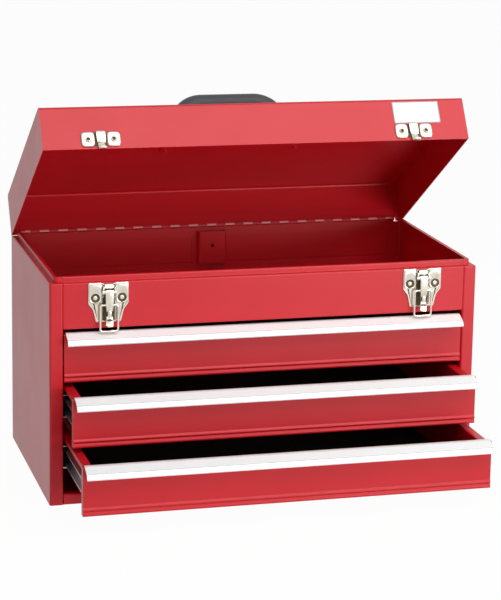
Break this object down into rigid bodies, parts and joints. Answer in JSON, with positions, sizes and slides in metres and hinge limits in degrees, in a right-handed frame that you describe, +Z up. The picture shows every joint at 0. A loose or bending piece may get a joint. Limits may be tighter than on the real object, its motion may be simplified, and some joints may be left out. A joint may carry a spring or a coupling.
{
  "type": "drawer tool box",
  "caption": "Portable sheet-metal tool chest: lidded top compartment with folding carry handle and toggle latches, over drawers on ball-bearing slides.",
  "frame": {"origin": "centre of the case's underside, midway between its sides and between its front and back faces", "axes": "+X to the user's right along the case, +Y to the back, where the lid is hinged, +Z up; the drawers open towards -Y"},
  "size_m": [0.514, 0.4302, 0.4536],
  "materials": {
    "red_paint": "gloss",
    "pull_metal": "satin",
    "black_foam": "matte",
    "zinc_steel": "satin",
    "nickel_plate": "polished",
    "white_plate": "gloss",
    "black_grip": "matte",
    "dark_steel": "satin",
    "pin_steel": "satin"
  },
  "bodies": {
    "case": {"side_panel_left": "red_paint", "side_panel_right": "red_paint", "back_panel": "red_paint", "bottom_panel": "red_paint", "fascia": "red_paint", "tray_floor": "red_paint", "back_channel": "red_paint", "slide_post_left": "red_paint", "slide_post_right": "red_paint", "hinge_leaf_case": "red_paint", "hinge_pin": "pin_steel", "latch_plate_left": "nickel_plate", "latch_plate_right": "nickel_plate", "latch_rivets": "nickel_plate", "latch_pivot_pins": "nickel_plate", "slide_rail_left_1": "zinc_steel", "slide_rail_right_1": "zinc_steel", "slide_rail_left_2": "zinc_steel", "slide_rail_right_2": "zinc_steel", "slide_rail_left_3": "zinc_steel", "slide_rail_right_3": "zinc_steel"},
    "lid": {"lid_skin": "red_paint", "lid_end_left": "red_paint", "lid_end_right": "red_paint", "hinge_leaf_lid": "red_paint", "keeper_left": "nickel_plate", "keeper_right": "nickel_plate", "keeper_rivets": "nickel_plate", "label_plate": "white_plate", "handle_bracket_left": "dark_steel", "handle_bracket_right": "dark_steel", "handle_screws": "dark_steel", "handle_backing_plate": "red_paint"},
    "handle": {"handle_grip": "black_grip", "handle_core": "dark_steel"},
    "latch_left": {"latch_lever_left": "nickel_plate"},
    "latch_right": {"latch_lever_right": "nickel_plate"},
    "bail_left": {"latch_bail_left": "nickel_plate"},
    "bail_right": {"latch_bail_right": "nickel_plate"},
    "drawer_1": {"drawer_tray_1": "red_paint", "drawer_front_1": "red_paint", "drawer_pull_1": "pull_metal", "drawer_liner_1": "black_foam", "slide_runner_left_1": "zinc_steel", "slide_runner_right_1": "zinc_steel"},
    "cages_1": {"slide_cages_1": "zinc_steel"},
    "drawer_2": {"drawer_tray_2": "red_paint", "drawer_front_2": "red_paint", "drawer_pull_2": "pull_metal", "drawer_liner_2": "black_foam", "slide_runner_left_2": "zinc_steel", "slide_runner_right_2": "zinc_steel"},
    "cages_2": {"slide_cages_2": "zinc_steel"},
    "drawer_3": {"drawer_tray_3": "red_paint", "drawer_front_3": "red_paint", "drawer_pull_3": "pull_metal", "drawer_liner_3": "black_foam", "slide_runner_left_3": "zinc_steel", "slide_runner_right_3": "zinc_steel"},
    "cages_3": {"slide_cages_3": "zinc_steel"}
  },
  "joints": [
    {"name": "lid_hinge", "type": "hinge", "parent": "case", "child": "lid", "pos_m": [0, 0.1343, 0.266], "axis": [-1, 0, 0], "range_deg": [-32.4, 62.6]},
    {"name": "handle_fold", "type": "hinge", "parent": "lid", "child": "handle", "pos_m": [0, 0.04512, 0.39851], "axis": [1, 0, 0], "range_deg": [-90, 90]},
    {"name": "latch_lever_left", "type": "hinge", "parent": "case", "child": "latch_left", "pos_m": [-0.189, -0.1433, 0.252], "axis": [-1, 0, 0], "range_deg": [0, 110]},
    {"name": "latch_bail_left", "type": "hinge", "parent": "latch_left", "child": "bail_left", "pos_m": [-0.189, -0.1433, 0.237], "axis": [-1, 0, 0], "range_deg": [-5, 105]},
    {"name": "latch_lever_right", "type": "hinge", "parent": "case", "child": "latch_right", "pos_m": [0.189, -0.1433, 0.252], "axis": [-1, 0, 0], "range_deg": [0, 110]},
    {"name": "latch_bail_right", "type": "hinge", "parent": "latch_right", "child": "bail_right", "pos_m": [0.189, -0.1433, 0.237], "axis": [-1, 0, 0], "range_deg": [-5, 105]},
    {"name": "drawer_slide_1", "type": "slide", "parent": "case", "child": "drawer_1", "axis": [0, -1, 0], "range_m": [0, 0.19]},
    {"name": "cage_slide_1", "type": "slide", "parent": "case", "child": "cages_1", "axis": [0, -1, 0], "range_m": [0, 0.095]},
    {"name": "drawer_slide_2", "type": "slide", "parent": "case", "child": "drawer_2", "axis": [0, -1, 0], "range_m": [-0.0559, 0.1341]},
    {"name": "cage_slide_2", "type": "slide", "parent": "case", "child": "cages_2", "axis": [0, -1, 0], "range_m": [-0.02795, 0.06705]},
    {"name": "drawer_slide_3", "type": "slide", "parent": "case", "child": "drawer_3", "axis": [0, -1, 0], "range_m": [-0.1142, 0.0758]},
    {"name": "cage_slide_3", "type": "slide", "parent": "case", "child": "cages_3", "axis": [0, -1, 0], "range_m": [-0.0571, 0.0379]}
  ],
  "couplings": [
    {"joint": "cage_slide_1", "follows": "drawer_slide_1", "ratio": 0.5},
    {"joint": "cage_slide_2", "follows": "drawer_slide_2", "ratio": 0.5},
    {"joint": "cage_slide_3", "follows": "drawer_slide_3", "ratio": 0.5}
  ]
}
